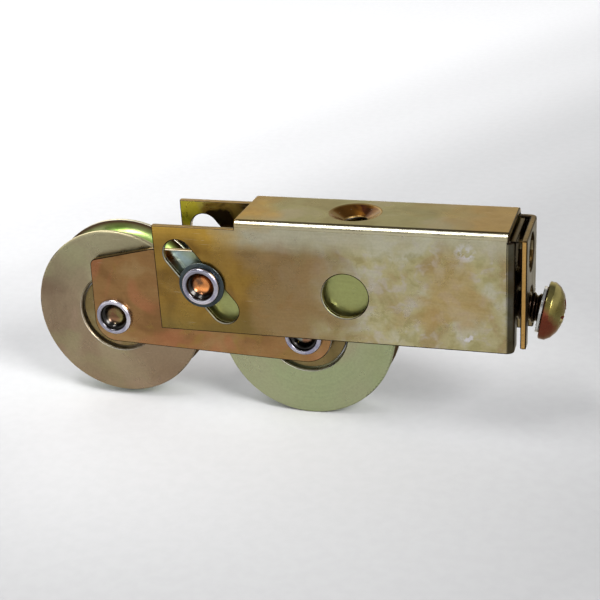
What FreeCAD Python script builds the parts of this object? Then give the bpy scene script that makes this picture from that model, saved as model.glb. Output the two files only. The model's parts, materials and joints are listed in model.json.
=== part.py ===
import FreeCAD, Part
import math
import os
import Sketcher

# Tandem roller for a sliding door: a folded steel channel, a bracket with two ball-bearing wheels
# that slides on diagonal slots in the channel, and a screw that pulls the bracket to set the height.
# Millimetres, +Z up, +X towards the screw's head. The origin is the centre of the upper hole in the
# outer end tab, on the tab's outer face. Y = 0 is the plane of symmetry.

doc = FreeCAD.newDocument("SlidingDoorRoller")
sheet = doc.addObject("Spreadsheet::Sheet", "Sizes")

SIZES = {
    # housing: folded sheet
    "gauge": 1.2,
    "housing_length": 77.8,
    "housing_width": 17.5,
    "housing_top": 6.6,
    "housing_base": 18.8,
    "outer_bend": 1.6,
    "inner_bend": 0.4,
    "top_start": 59.6,
    "top_end": 3.4,
    "notch_level": 4.8,
    "inner_tab_face": 2.2,
    "inner_tab_reach": 6.2,
    "outer_tab_reach": 7.0,
    "outer_tab_base": 18.3,
    "end_hole_radius": 4.0,
    "screw_notch_radius": 4.25,
    "screw_notch_level": 11.75,
    "inner_notch_level": 11.0,
    "side_hole_radius": 4.85,
    "side_hole_back": 36.54,
    "side_hole_down": 8.6,
    "guide_slot_width": 6.3,
    "guide_slot_pitch": 15.32,
    "guide_slot_back": 67.71,
    "guide_slot_down": 7.4,
    "guide_slot_angle": 51.57,
    "top_hole_back": 35.9,
    "top_hole_rim_radius": 5.3,
    "top_hole_radius": 2.4,
    "dimple_depth": 2.3,
    # bracket: folded sheet, in its own frame about the guide rivet
    "bracket_gauge": 1.25,
    "bracket_width": 12.3,
    "bracket_tilt": 1.86,
    "guide_back": 67.4,
    "guide_down": 7.9,
    "axle_left": 22.06,
    "axle_right": 21.16,
    "axle_down": 10.81,
    "bracket_left": 26.9,
    "bracket_foot": 16.9,
    "bracket_shoulder": 2.0,
    "bracket_top": 6.35,
    "arm_base": 7.2,
    "arm_top": 8.8,
    "web_face": 48.4,
    "web_slot_width": 7.2,
    "web_slot_height": 10.7,
    "web_slot_level": 0.75,
    "rivet_hole_radius": 3.05,
    # pins with drilled, rolled-over ends
    "rivet_radius": 3.0,
    "rivet_bore": 2.1,
    "rivet_dish": 2.1,
    "rivet_mouth": 2.85,
    "rivet_rim": 4.1,
    "rivet_rim_height": 1.05,
    "guide_rim_height": 0.95,
    "guide_rim_gap": 0.8,
    "guide_washer_radius": 5.0,
    "guide_washer_thickness": 0.55,
    "guide_washer_gap": 0.2,
    "spacer_radius": 4.4,
    "spacer_length": 9.2,
    # wheels
    "wheel_radius": 19.05,
    "wheel_width": 8.5,
    "wheel_corner": 0.45,
    "wheel_bore": 8.88,
    "groove_half_chord": 3.3,
    "groove_depth": 2.8,
    "outer_race_radius": 8.85,
    "outer_race_bore": 6.9,
    "outer_race_width": 5.4,
    "inner_race_radius": 5.0,
    "inner_race_bore": 3.04,
    "inner_race_width": 8.0,
    "ball_radius": 1.98,
    "ball_pitch_radius": 5.95,
    "ball_track_radius": 2.02,
    "shield_radius": 8.6,
    "shield_bore": 5.3,
    "shield_inner_face": 2.78,
    "shield_outer_face": 3.2,
    "axle_washer_radius": 4.6,
    # adjusting screw, in its own frame about the point where it rocks in the tab
    "screw_back": 0.6,
    "screw_down": 11.8,
    "screw_tilt": 10.3,
    "screw_radius": 3.1,
    "screw_reach": 25.4,
    "screw_point": 0.6,
    "head_seat": 3.25,
    "head_radius": 5.95,
    "head_rim": 1.3,
    "head_height": 4.3,
    "recess_width": 1.5,
    "recess_length": 6.6,
    "recess_depth": 2.4,
    "thrust_washer_radius": 4.75,
    "thrust_washer_bore": 3.2,
    "thrust_washer_thickness": 0.7,
    "nut_centre": 24.56,
    "nut_radius": 5.2,
    "nut_flat": 0.6,
    "nut_length": 8.8,
    "nut_bore": 3.15,
}
BALL_COUNT = 8

for row, (alias, value) in enumerate(SIZES.items(), start=1):
    sheet.set(f"A{row}", alias)
    sheet.set(f"B{row}", str(value))
    sheet.setAlias(f"B{row}", alias)
doc.recompute()


def size(formula):
    """Value of an expression written with the sheet's aliases."""
    return float(plain_number(sheet.evalExpression(formula)))


def plain_number(value):
    """Plain number from a number or a quantity."""
    return value.Value if hasattr(value, "Value") else value


def linked(formula):
    """The same expression, with each alias naming its sheet."""
    words = []
    word = ""
    for letter in formula + " ":
        if letter.isalnum() or letter == "_":
            word += letter
            continue
        words.append(f"Sizes.{word}" if word in SIZES else word)
        words.append(letter)
        word = ""
    return "".join(words).strip()


def origin_plane(body, role):
    """One of a body's own origin planes."""
    return next(item for item in body.Origin.OriginFeatures if item.Role == role)


def new_body(label):
    body = doc.addObject("PartDesign::Body", label)
    body.Label = label
    return body


def new_sketch(body, role, name, offset="0"):
    """Empty sketch on an origin plane, moved along the plane's normal by an expression."""
    sketch = body.newObject("Sketcher::SketchObject", f"{body.Name}_{name}")
    sketch.AttachmentSupport = (origin_plane(body, role), [""])
    sketch.MapMode = "FlatFace"
    if offset != "0":
        sketch.setExpression("AttachmentOffset.Base.z", linked(offset))
    return sketch


def pin_coordinate(sketch, kind, geometry, point, formula):
    """Tie one coordinate of a sketch point to an expression."""
    value = size(formula)
    if abs(value) < 1e-9:
        axis = -2 if kind == "DistanceX" else -1
        sketch.addConstraint(Sketcher.Constraint("PointOnObject", geometry, point, axis))
        return
    index = sketch.addConstraint(Sketcher.Constraint(kind, -1, 1, geometry, point, value))
    sketch.setExpression(f"Constraints[{index}]", linked(formula))


def draw_polygon(sketch, corners):
    """Closed polygon whose corners are pairs of expressions."""
    points = [FreeCAD.Vector(size(x), size(y), 0) for x, y in corners]
    first = sketch.GeometryCount
    count = len(points)
    for index, point in enumerate(points):
        sketch.addGeometry(Part.LineSegment(point, points[(index + 1) % count]), False)
    for index in range(count):
        after = first + (index + 1) % count
        sketch.addConstraint(Sketcher.Constraint("Coincident", first + index, 2, after, 1))
    for index, (x, y) in enumerate(corners):
        pin_coordinate(sketch, "DistanceX", first + index, 1, x)
        pin_coordinate(sketch, "DistanceY", first + index, 1, y)


def draw_circle(sketch, x, y, radius):
    """Circle with its centre and radius given as expressions."""
    centre = FreeCAD.Vector(size(x), size(y), 0)
    index = sketch.addGeometry(Part.Circle(centre, FreeCAD.Vector(0, 0, 1), size(radius)), False)
    pin_coordinate(sketch, "DistanceX", index, 3, x)
    pin_coordinate(sketch, "DistanceY", index, 3, y)
    constraint = sketch.addConstraint(Sketcher.Constraint("Radius", index, size(radius)))
    sketch.setExpression(f"Constraints[{constraint}]", linked(radius))


def pad(body, sketch, length, symmetric=False, reverse=False):
    feature = body.newObject("PartDesign::Pad", f"{sketch.Name}_Pad")
    feature.Profile = sketch
    feature.SideType = "Symmetric" if symmetric else "One side"
    feature.Reversed = reverse
    feature.setExpression("Length", linked(length))
    doc.recompute()
    return feature


def pocket(body, sketch, length, symmetric=False, reverse=False):
    """Cut a profile out of a body, and make sure that something was cut."""
    before = body.Shape.Volume
    feature = body.newObject("PartDesign::Pocket", f"{sketch.Name}_Pocket")
    feature.Profile = sketch
    feature.SideType = "Symmetric" if symmetric else "One side"
    feature.Reversed = reverse
    feature.setExpression("Length", linked(length))
    doc.recompute()
    if body.Shape.Volume > before - 1e-3:
        raise RuntimeError(f"{feature.Name} cut nothing")
    return feature


def turn(body, sketch, kind="Revolution"):
    """Revolve a profile about its sketch's vertical axis; kind Groove takes material away."""
    before = body.Shape.Volume if kind == "Groove" else 0
    feature = body.newObject(f"PartDesign::{kind}", f"{sketch.Name}_{kind}")
    feature.Profile = sketch
    feature.ReferenceAxis = (sketch, ["V_Axis"])
    feature.Angle = 360
    doc.recompute()
    if kind == "Groove" and body.Shape.Volume > before - 1e-3:
        raise RuntimeError(f"{feature.Name} cut nothing")
    return feature


def dress(body, kind, amount, wanted):
    """Fillet or chamfer every edge of the body's tip that the test picks out."""
    tip = body.Tip
    names = [f"Edge{number}" for number, edge in enumerate(tip.Shape.Edges, start=1) if wanted(edge)]
    if not names:
        raise RuntimeError(f"{body.Label}: no edge to dress")
    feature = body.newObject(f"PartDesign::{kind}", f"{body.Name}_{kind}")
    feature.Base = (tip, names)
    feature.setExpression("Radius" if kind == "Fillet" else "Size", linked(amount))
    doc.recompute()
    return feature


def is_straight(edge, axis, length=0.0):
    """True for a straight edge along an axis that is at least this long."""
    if not isinstance(edge.Curve, Part.Line) or edge.Length < length:
        return False
    return abs(edge.tangentAt(edge.FirstParameter).dot(axis)) > 0.999


def is_circle(edge, radius, height=None):
    """True for a circular edge about the body's Y axis, with this radius, at this distance from Y = 0."""
    if not isinstance(edge.Curve, Part.Circle) or abs(edge.Curve.Radius - radius) > 1e-4:
        return False
    centre = edge.Curve.Center
    if math.hypot(centre.x, centre.z) > 1e-4:
        return False
    return height is None or abs(abs(centre.y) - height) < 1e-4


X_AXIS = FreeCAD.Vector(1, 0, 0)
Y_AXIS = FreeCAD.Vector(0, 1, 0)
Z_AXIS = FreeCAD.Vector(0, 0, 1)
HOME = FreeCAD.Placement()
BRACKET_PLACE = FreeCAD.Placement(
    FreeCAD.Vector(-size("guide_back"), 0, -size("guide_down")),
    FreeCAD.Rotation(Y_AXIS, size("bracket_tilt")),
)
GUIDE_PLACE = FreeCAD.Placement(BRACKET_PLACE.Base, FreeCAD.Rotation())
SCREW_PLACE = FreeCAD.Placement(
    FreeCAD.Vector(-size("screw_back"), 0, -size("screw_down")),
    FreeCAD.Rotation(Y_AXIS, size("screw_tilt")),
)
AXLE_OFFSETS = {
    "left": FreeCAD.Vector(-size("axle_left"), 0, -size("axle_down")),
    "right": FreeCAD.Vector(size("axle_right"), 0, -size("axle_down")),
}


def axle_place(side):
    """Placement of what is centred on one of the two axles."""
    return BRACKET_PLACE.multiply(FreeCAD.Placement(AXLE_OFFSETS[side], FreeCAD.Rotation()))


def make_housing():
    """Folded channel, open below, with two overlapping tabs at the screw end."""
    body = new_body("housing_channel")
    half = "housing_width / 2"
    inner = "(housing_width / 2 - gauge)"

    def fold(name, side, end, reach):
        """One wall and the tab folded from its end, seen from above."""
        plan = new_sketch(body, "XY_Plane", name, "-housing_base")
        back = "-" if side > 0 else ""
        front = "" if side > 0 else "-"
        draw_polygon(plan, [
            ("-housing_length", f"{front}{half}"),
            (f"-{end}", f"{front}{half}"),
            (f"-{end}", f"{back}{reach}"),
            (f"-{end} - gauge", f"{back}{reach}"),
            (f"-{end} - gauge", f"{front}{inner}"),
            ("-housing_length", f"{front}{inner}"),
        ])
        pad(body, plan, "housing_base + notch_level")
        for amount, x, y in (
            ("outer_bend", -size(end), side * size(half)),
            ("inner_bend", -size(f"{end} + gauge"), side * size(inner)),
        ):
            dress(body, "Fillet", amount, lambda edge: is_straight(edge, Z_AXIS, 10)
                  and abs(edge.BoundBox.XMin - x) < 1e-4
                  and abs(edge.BoundBox.YMin - y) < 1e-4)

    # the inner tab is folded from the front wall, the outer one from the longer rear wall
    fold("front_wall", -1, "inner_tab_face", "inner_tab_reach")
    fold("rear_wall", 1, "0.0", "outer_tab_reach")

    # the top plate stops short of both ends
    section = new_sketch(body, "YZ_Plane", "section", "-top_start")
    draw_polygon(section, [
        (f"-{half}", "notch_level"),
        (f"-{half}", "housing_top"),
        (half, "housing_top"),
        (half, "notch_level"),
        (inner, "notch_level"),
        (inner, "housing_top - gauge"),
        (f"-{inner}", "housing_top - gauge"),
        (f"-{inner}", "notch_level"),
    ])
    pad(body, section, "top_start - top_end")
    top = size("housing_top")
    under = size("housing_top - gauge")
    dress(body, "Fillet", "outer_bend",
          lambda edge: is_straight(edge, X_AXIS) and edge.BoundBox.ZMin > top - 1e-4)
    dress(body, "Fillet", "inner_bend",
          lambda edge: is_straight(edge, X_AXIS) and abs(edge.BoundBox.ZMin - under) < 1e-4)

    # the outer tab stops a little above the walls' lower edge
    relief = new_sketch(body, "YZ_Plane", "relief", "-gauge - 0.3")
    draw_polygon(relief, [
        (f"-{half} - 1", "-housing_base - 1"),
        (f"-{half} - 1", "-outer_tab_base"),
        (f"{inner}", "-outer_tab_base"),
        (f"{inner}", "-housing_base - 1"),
    ])
    pocket(body, relief, "gauge + 1", reverse=True)

    # mounting hole through both tabs, and the notches that the screw rocks in
    end_hole = new_sketch(body, "YZ_Plane", "end_hole", "-gauge - 3")
    draw_circle(end_hole, "0", "0", "end_hole_radius")
    pocket(body, end_hole, "gauge + 4", reverse=True)
    for name, offset, depth, level in (
        ("outer_notch", "-gauge - 0.3", "gauge + 1", "screw_notch_level"),
        ("inner_notch", "-inner_tab_face - gauge - 1", "gauge + 1.3", "inner_notch_level"),
    ):
        legs = new_sketch(body, "YZ_Plane", f"{name}_legs", offset)
        draw_polygon(legs, [
            ("-screw_notch_radius", "-housing_base - 1"),
            ("-screw_notch_radius", f"-{level}"),
            ("screw_notch_radius", f"-{level}"),
            ("screw_notch_radius", "-housing_base - 1"),
        ])
        pocket(body, legs, depth, reverse=True)
        arch = new_sketch(body, "YZ_Plane", f"{name}_arch", offset)
        draw_circle(arch, "0", f"-{level}", "screw_notch_radius")
        pocket(body, arch, depth, reverse=True)

    # round hole through both walls
    side_hole = new_sketch(body, "XZ_Plane", "side_hole")
    draw_circle(side_hole, "-side_hole_back", "-side_hole_down", "side_hole_radius")
    pocket(body, side_hole, "housing_width + 2", symmetric=True)

    # diagonal guide slots: a straight cut with a round cut at each end
    angle = "guide_slot_angle"
    reach_x = f"guide_slot_pitch / 2 * cos({angle} * 1deg)"
    reach_z = f"guide_slot_pitch / 2 * sin({angle} * 1deg)"
    side_x = f"guide_slot_width / 2 * sin({angle} * 1deg)"
    side_z = f"guide_slot_width / 2 * cos({angle} * 1deg)"
    straight = new_sketch(body, "XZ_Plane", "slot_straight")
    draw_polygon(straight, [
        (f"-guide_slot_back - {reach_x} - {side_x}", f"-guide_slot_down + {reach_z} - {side_z}"),
        (f"-guide_slot_back - {reach_x} + {side_x}", f"-guide_slot_down + {reach_z} + {side_z}"),
        (f"-guide_slot_back + {reach_x} + {side_x}", f"-guide_slot_down - {reach_z} + {side_z}"),
        (f"-guide_slot_back + {reach_x} - {side_x}", f"-guide_slot_down - {reach_z} - {side_z}"),
    ])
    pocket(body, straight, "housing_width + 2", symmetric=True)
    for name, along, down in (("upper", "-", "+"), ("lower", "+", "-")):
        round_end = new_sketch(body, "XZ_Plane", f"slot_{name}")
        draw_circle(round_end, f"-guide_slot_back {along} {reach_x}",
                    f"-guide_slot_down {down} {reach_z}", "guide_slot_width / 2")
        pocket(body, round_end, "housing_width + 2", symmetric=True)

    # countersunk dimple in the top plate: a cone pressed into the sheet, with a hole in its floor
    cup = new_sketch(body, "XZ_Plane", "cup")
    cup.setExpression("AttachmentOffset.Base.x", linked("-top_hole_back"))
    draw_polygon(cup, [
        ("0", "housing_top - dimple_depth"),
        ("0", "housing_top - gauge + 0.2"),
        ("top_hole_rim_radius + 0.5", "housing_top - gauge + 0.2"),
        ("top_hole_rim_radius + 0.5", "housing_top - gauge"),
        ("top_hole_radius + 1", "housing_top - dimple_depth"),
    ])
    turn(body, cup)
    sink = new_sketch(body, "XZ_Plane", "sink")
    sink.setExpression("AttachmentOffset.Base.x", linked("-top_hole_back"))
    draw_polygon(sink, [
        ("0", "housing_top - dimple_depth - 1"),
        ("0", "housing_top + 1"),
        ("top_hole_rim_radius", "housing_top + 1"),
        ("top_hole_rim_radius", "housing_top"),
        ("top_hole_radius", "housing_top - dimple_depth + 0.5"),
        ("top_hole_radius", "housing_top - dimple_depth - 1"),
    ])
    turn(body, sink, "Groove")
    body.Placement = HOME
    return body


def make_bracket():
    """Folded bracket: two side plates joined by an end web that the screw passes through."""
    body = new_body("carriage_bracket")
    outline = new_sketch(body, "XZ_Plane", "outline")
    lobe = "axle_right + 6.1"
    draw_polygon(outline, [
        ("-bracket_left", "-bracket_foot"),
        ("-bracket_left", "bracket_shoulder"),
        ("-12.3", "bracket_top - 0.45"),
        ("0", "bracket_top"),
        ("axle_right - 1.2", "bracket_top"),
        ("axle_right + 2.8", "arm_top"),
        ("web_face + bracket_gauge", "arm_top"),
        ("web_face + bracket_gauge", "-arm_base"),
        (lobe, "-arm_base"),
        (lobe, "-bracket_foot"),
    ])
    pad(body, outline, "bracket_width", symmetric=True)

    def corner(x, z):
        return lambda edge: (
            is_straight(edge, Y_AXIS)
            and abs(edge.BoundBox.XMin - x) < 1e-3
            and abs(edge.BoundBox.ZMin - z) < 1e-3
        )

    foot = -size("bracket_foot")
    dress(body, "Fillet", "4.8", corner(-size("bracket_left"), foot))
    dress(body, "Fillet", "6.05", corner(size(lobe), foot))
    dress(body, "Fillet", "1.5", corner(-size("bracket_left"), size("bracket_shoulder")))

    inside = new_sketch(body, "XZ_Plane", "inside")
    draw_polygon(inside, [
        ("-bracket_left - 1", "-bracket_foot - 1"),
        ("-bracket_left - 1", "arm_top + 1"),
        ("web_face", "arm_top + 1"),
        ("web_face", "-bracket_foot - 1"),
    ])
    pocket(body, inside, "bracket_width - 2 * bracket_gauge", symmetric=True)
    end = size("web_face + bracket_gauge")
    dress(body, "Fillet", "outer_bend",
          lambda edge: is_straight(edge, Z_AXIS, 5) and edge.BoundBox.XMin > end - 1e-3)
    face = size("web_face")
    wall = size("bracket_width / 2 - bracket_gauge")
    dress(body, "Fillet", "inner_bend",
          lambda edge: is_straight(edge, Z_AXIS, 5)
          and abs(edge.BoundBox.XMin - face) < 1e-3
          and abs(abs(edge.BoundBox.YMin) - wall) < 1e-3)

    holes = new_sketch(body, "XZ_Plane", "rivet_holes")
    draw_circle(holes, "0", "0", "rivet_hole_radius")
    draw_circle(holes, "-axle_left", "-axle_down", "rivet_hole_radius")
    draw_circle(holes, "axle_right", "-axle_down", "rivet_hole_radius")
    pocket(body, holes, "bracket_width + 2", symmetric=True)

    straight = new_sketch(body, "YZ_Plane", "web_slot", "web_face - 1")
    half = "web_slot_width / 2"
    reach = "(web_slot_height / 2 - web_slot_width / 2)"
    draw_polygon(straight, [
        (f"-{half}", f"web_slot_level - {reach}"),
        (f"-{half}", f"web_slot_level + {reach}"),
        (half, f"web_slot_level + {reach}"),
        (half, f"web_slot_level - {reach}"),
    ])
    pocket(body, straight, "bracket_gauge + 2", reverse=True)
    for name, sign in (("upper", "+"), ("lower", "-")):
        round_end = new_sketch(body, "YZ_Plane", f"web_{name}", "web_face - 1")
        draw_circle(round_end, "0", f"web_slot_level {sign} {reach}", half)
        pocket(body, round_end, "bracket_gauge + 2", reverse=True)
    body.Placement = BRACKET_PLACE
    return body


def make_ring(label, bore, radius, low, high, place, dressing=None):
    """Washer, sleeve or race: a ring about Y between two distances along it."""
    body = new_body(label)
    profile = new_sketch(body, "XY_Plane", "profile")
    draw_polygon(profile, [(bore, low), (radius, low), (radius, high), (bore, high)])
    turn(body, profile)
    if dressing:
        outer = size(radius)
        dress(body, "Fillet", dressing, lambda edge: is_circle(edge, outer))
    body.Placement = place
    return body


def make_rivet(label, seat, rim_height, place):
    """Pin about Y whose drilled ends are rolled over into a rim."""
    body = new_body(label)
    profile = new_sketch(body, "XY_Plane", "profile")
    end = f"({seat} + {rim_height})"
    draw_polygon(profile, [
        ("0", f"-{end} + rivet_dish + 0.2"),
        ("rivet_bore - 0.6", f"-{end} + rivet_dish"),
        ("rivet_bore", f"-{end} + 1.5"),
        ("rivet_mouth", f"-{end} + 0.5"),
        ("rivet_mouth + 0.25", f"-{end}"),
        ("rivet_rim", f"-{end}"),
        ("rivet_rim", f"-{seat}"),
        ("rivet_radius", f"-{seat}"),
        ("rivet_radius", seat),
        ("rivet_rim", seat),
        ("rivet_rim", end),
        ("rivet_mouth + 0.25", end),
        ("rivet_mouth", f"{end} - 0.5"),
        ("rivet_bore", f"{end} - 1.5"),
        ("rivet_bore - 0.6", f"{end} - rivet_dish"),
        ("0", f"{end} - rivet_dish - 0.2"),
    ])
    turn(body, profile)
    rim = size("rivet_rim")
    height = size(end)
    dress(body, "Fillet", f"{rim_height} * 0.55", lambda edge: is_circle(edge, rim, height))
    body.Placement = place
    return body


def make_wheel_rim(label, place):
    """Steel wheel: flat sides, a hollow tread that rides on the track's rib, and a bore for the bearing."""
    body = new_body(label)
    profile = new_sketch(body, "XY_Plane", "profile")
    draw_polygon(profile, [
        ("wheel_bore", "-wheel_width / 2"),
        ("wheel_radius", "-wheel_width / 2"),
        ("wheel_radius", "wheel_width / 2"),
        ("wheel_bore", "wheel_width / 2"),
    ])
    turn(body, profile)
    tread = size("wheel_radius")
    bore = size("wheel_bore")
    dress(body, "Fillet", "wheel_corner", lambda edge: is_circle(edge, tread))
    dress(body, "Chamfer", "0.25", lambda edge: is_circle(edge, bore))
    groove = new_sketch(body, "XY_Plane", "tread")
    curve = "(groove_half_chord ^ 2 + groove_depth ^ 2) / (2 * groove_depth)"
    draw_circle(groove, f"wheel_radius - groove_depth + {curve}", "0", curve)
    turn(body, groove, "Groove")
    body.Placement = place
    return body


def make_race(label, bore, radius, width, place):
    """Bearing race with a ball track of round section."""
    body = new_body(label)
    profile = new_sketch(body, "XY_Plane", "profile")
    half = f"{width} / 2"
    draw_polygon(profile, [(bore, f"-{half}"), (radius, f"-{half}"), (radius, half), (bore, half)])
    turn(body, profile)
    track = new_sketch(body, "XY_Plane", "track")
    draw_circle(track, "ball_pitch_radius", "0", "ball_track_radius")
    turn(body, track, "Groove")
    body.Placement = place
    return body


def make_ball(label, number, place):
    """One bearing ball on the pitch circle."""
    ball = doc.addObject("Part::Sphere", label)
    ball.Label = label
    ball.setExpression("Radius", linked("ball_radius"))
    angle = 2 * math.pi * (number - 0.5) / BALL_COUNT
    pitch = size("ball_pitch_radius")
    offset = FreeCAD.Vector(pitch * math.cos(angle), 0, pitch * math.sin(angle))
    ball.Placement = place.multiply(FreeCAD.Placement(offset, FreeCAD.Rotation()))
    return ball


def make_wheel(side):
    """Everything on one axle."""
    place = axle_place(side)
    pieces = [
        make_wheel_rim(f"{side}_wheel_rim", place),
        make_race(f"{side}_outer_race", "outer_race_bore", "outer_race_radius", "outer_race_width", place),
        make_race(f"{side}_inner_race", "inner_race_bore", "inner_race_radius", "inner_race_width", place),
        make_rivet(f"{side}_axle_rivet", "bracket_width / 2", "rivet_rim_height", place),
    ]
    for number in range(1, BALL_COUNT + 1):
        pieces.append(make_ball(f"{side}_ball_{number}", number, place))
    plate = "(bracket_width / 2 - bracket_gauge)"
    for end, sign in (("front", "-"), ("rear", "")):
        pieces.append(make_ring(f"{side}_shield_{end}", "shield_bore", "shield_radius",
                                f"{sign}shield_inner_face", f"{sign}shield_outer_face", place, "0.2"))
        pieces.append(make_ring(f"{side}_axle_washer_{end}", "inner_race_bore", "axle_washer_radius",
                                f"{sign}inner_race_width / 2", f"{sign}{plate}", place))
    return pieces


def make_guide():
    """Rivet that guides the bracket in the slots and is the pivot of its rocking."""
    seat = "(housing_width / 2 + guide_rim_gap)"
    pieces = [make_rivet("guide_rivet", seat, "guide_rim_height", GUIDE_PLACE)]
    pieces.append(make_ring("guide_spacer", "rivet_hole_radius", "spacer_radius",
                            "-spacer_length / 2", "spacer_length / 2", GUIDE_PLACE))
    near = "(housing_width / 2 + guide_washer_gap)"
    far = "(housing_width / 2 + guide_washer_gap + guide_washer_thickness)"
    for end, sign in (("front", "-"), ("rear", "")):
        pieces.append(make_ring(f"guide_washer_{end}", "rivet_hole_radius", "guide_washer_radius",
                                f"{sign}{near}", f"{sign}{far}", GUIDE_PLACE, "0.2"))
    return pieces


def make_screw():
    """Pan-head adjusting screw with a cross recess; its own X axis points out of the head."""
    body = new_body("adjusting_screw")
    profile = new_sketch(body, "XZ_Plane", "profile")
    crown = "head_seat + head_height"
    draw_polygon(profile, [
        ("-screw_reach", "0"),
        ("-screw_reach", "screw_radius - screw_point"),
        ("-screw_reach + screw_point", "screw_radius"),
        ("head_seat", "screw_radius"),
        ("head_seat", "head_radius"),
        ("head_seat + head_rim", "head_radius"),
        ("head_seat + head_rim + 1.1", "head_radius - 0.7"),
        ("head_seat + head_rim + 2.1", "head_radius - 2.0"),
        (f"{crown} - 0.3", "head_radius - 3.6"),
        (crown, "head_radius - 5.2"),
        (crown, "0"),
    ])
    feature = body.newObject("PartDesign::Revolution", "screw_turned")
    feature.Profile = profile
    feature.ReferenceAxis = (profile, ["H_Axis"])
    feature.Angle = 360
    doc.recompute()
    head = size("head_radius")
    dress(body, "Fillet", "0.3",
          lambda edge: isinstance(edge.Curve, Part.Circle) and abs(edge.Curve.Radius - head) < 1e-4)
    for name, wide, tall in (
        ("slot_wide", "recess_length / 2", "recess_width / 2"),
        ("slot_tall", "recess_width / 2", "recess_length / 2"),
    ):
        recess = new_sketch(body, "YZ_Plane", name, f"{crown} + 1")
        draw_polygon(recess, [
            (f"-{wide}", f"-{tall}"),
            (f"-{wide}", tall),
            (wide, tall),
            (wide, f"-{tall}"),
        ])
        pocket(body, recess, "recess_depth + 1")
    body.Placement = SCREW_PLACE
    return body


def make_thrust_washer():
    """Washer under the head; its own X axis is the screw's."""
    body = new_body("thrust_washer")
    profile = new_sketch(body, "YZ_Plane", "profile", "head_seat - 0.1 - thrust_washer_thickness")
    draw_circle(profile, "0", "0", "thrust_washer_radius")
    draw_circle(profile, "0", "0", "thrust_washer_bore")
    pad(body, profile, "thrust_washer_thickness")
    outer = size("thrust_washer_radius")
    dress(body, "Fillet", "0.15",
          lambda edge: isinstance(edge.Curve, Part.Circle) and abs(edge.Curve.Radius - outer) < 1e-4)
    body.Placement = SCREW_PLACE
    return body


def make_nut():
    """Half-barrel nut: its round side rolls on the web, so the screw can rock as it pulls."""
    body = new_body("adjusting_nut")
    profile = new_sketch(body, "XZ_Plane", "profile")
    draw_circle(profile, "-nut_centre", "0", "nut_radius")
    pad(body, profile, "nut_length", symmetric=True)
    flat = new_sketch(body, "XZ_Plane", "flat")
    draw_polygon(flat, [
        ("-nut_centre - nut_radius - 1", "-nut_radius - 1"),
        ("-nut_centre - nut_radius - 1", "nut_radius + 1"),
        ("-nut_centre + nut_flat", "nut_radius + 1"),
        ("-nut_centre + nut_flat", "-nut_radius - 1"),
    ])
    pocket(body, flat, "nut_length + 2", symmetric=True)
    bore = new_sketch(body, "YZ_Plane", "bore", "-nut_centre - 1")
    draw_circle(bore, "0", "0", "nut_bore")
    pocket(body, bore, "nut_radius + 3", reverse=True)
    body.Placement = SCREW_PLACE
    return body


pieces = [make_housing(), make_bracket()]
pieces += make_guide()
for wheel_side in ("left", "right"):
    pieces += make_wheel(wheel_side)
pieces += [make_screw(), make_thrust_washer(), make_nut()]
doc.recompute()

for item in doc.Objects:
    if "Invalid" in item.State or "Error" in item.State:
        raise RuntimeError(f"{item.Name} failed: {item.State}")
for piece in pieces:
    shape = piece.Shape
    if shape.isNull() or not shape.isValid():
        raise RuntimeError(f"{piece.Label} has no valid shape")
    if len(shape.Solids) != 1:
        raise RuntimeError(f"{piece.Label} has {len(shape.Solids)} solids")

os.makedirs("parts", exist_ok=True)
for piece in pieces:
    piece.Shape.exportStep(f"parts/{piece.Label}.step")
print(f"{len(pieces)} pieces written")
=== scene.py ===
import json
import math
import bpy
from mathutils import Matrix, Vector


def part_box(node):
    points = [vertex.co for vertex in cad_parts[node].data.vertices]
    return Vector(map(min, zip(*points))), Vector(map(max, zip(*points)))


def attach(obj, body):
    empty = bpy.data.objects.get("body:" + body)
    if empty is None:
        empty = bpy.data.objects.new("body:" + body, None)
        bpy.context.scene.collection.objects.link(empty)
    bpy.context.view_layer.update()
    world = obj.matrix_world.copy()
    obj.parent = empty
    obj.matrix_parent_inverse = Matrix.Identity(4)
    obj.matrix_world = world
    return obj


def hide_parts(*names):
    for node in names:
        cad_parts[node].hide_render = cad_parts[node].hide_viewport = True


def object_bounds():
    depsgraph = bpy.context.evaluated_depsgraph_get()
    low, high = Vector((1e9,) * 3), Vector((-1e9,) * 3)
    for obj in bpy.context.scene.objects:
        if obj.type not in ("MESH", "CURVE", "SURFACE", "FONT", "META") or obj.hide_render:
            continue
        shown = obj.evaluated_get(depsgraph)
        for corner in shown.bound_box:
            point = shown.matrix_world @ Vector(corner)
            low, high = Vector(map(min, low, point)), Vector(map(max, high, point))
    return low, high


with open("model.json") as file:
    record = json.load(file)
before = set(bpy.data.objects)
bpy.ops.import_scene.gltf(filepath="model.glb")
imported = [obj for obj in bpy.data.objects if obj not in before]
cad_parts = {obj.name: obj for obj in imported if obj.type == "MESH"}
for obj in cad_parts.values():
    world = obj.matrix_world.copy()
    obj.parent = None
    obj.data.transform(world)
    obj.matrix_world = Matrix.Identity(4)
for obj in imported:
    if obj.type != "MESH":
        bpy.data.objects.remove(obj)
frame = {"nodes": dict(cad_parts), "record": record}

from types import SimpleNamespace

import bmesh
import bpy
from mathutils import Matrix, Vector
from mathutils.bvhtree import BVHTree
from mathutils.kdtree import KDTree

# Looks for the sliding door roller: yellow-chromate steel sheet, grooved wheels, bright rivets and the
# threaded adjusting screw. Everything is in metres, in the frame of the CAD model: x is 0 at the screw end
# and negative towards the open end, the front wall is at negative y, and z is up.

MM = 0.001
CAD_LOW, CAD_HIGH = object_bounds()
NODES = frame["nodes"]
MIDDLE = Vector((-0.05, 0, -0.016))  # the lights aim here


# ---------------------------------------------------------------- node helpers

def linear(red, green, blue):
    """Scene-linear colour from 0-255 display values."""
    def channel(value):
        value /= 255
        return value / 12.92 if value <= 0.04045 else ((value + 0.055) / 1.055) ** 2.4
    return (channel(red), channel(green), channel(blue), 1)


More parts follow.
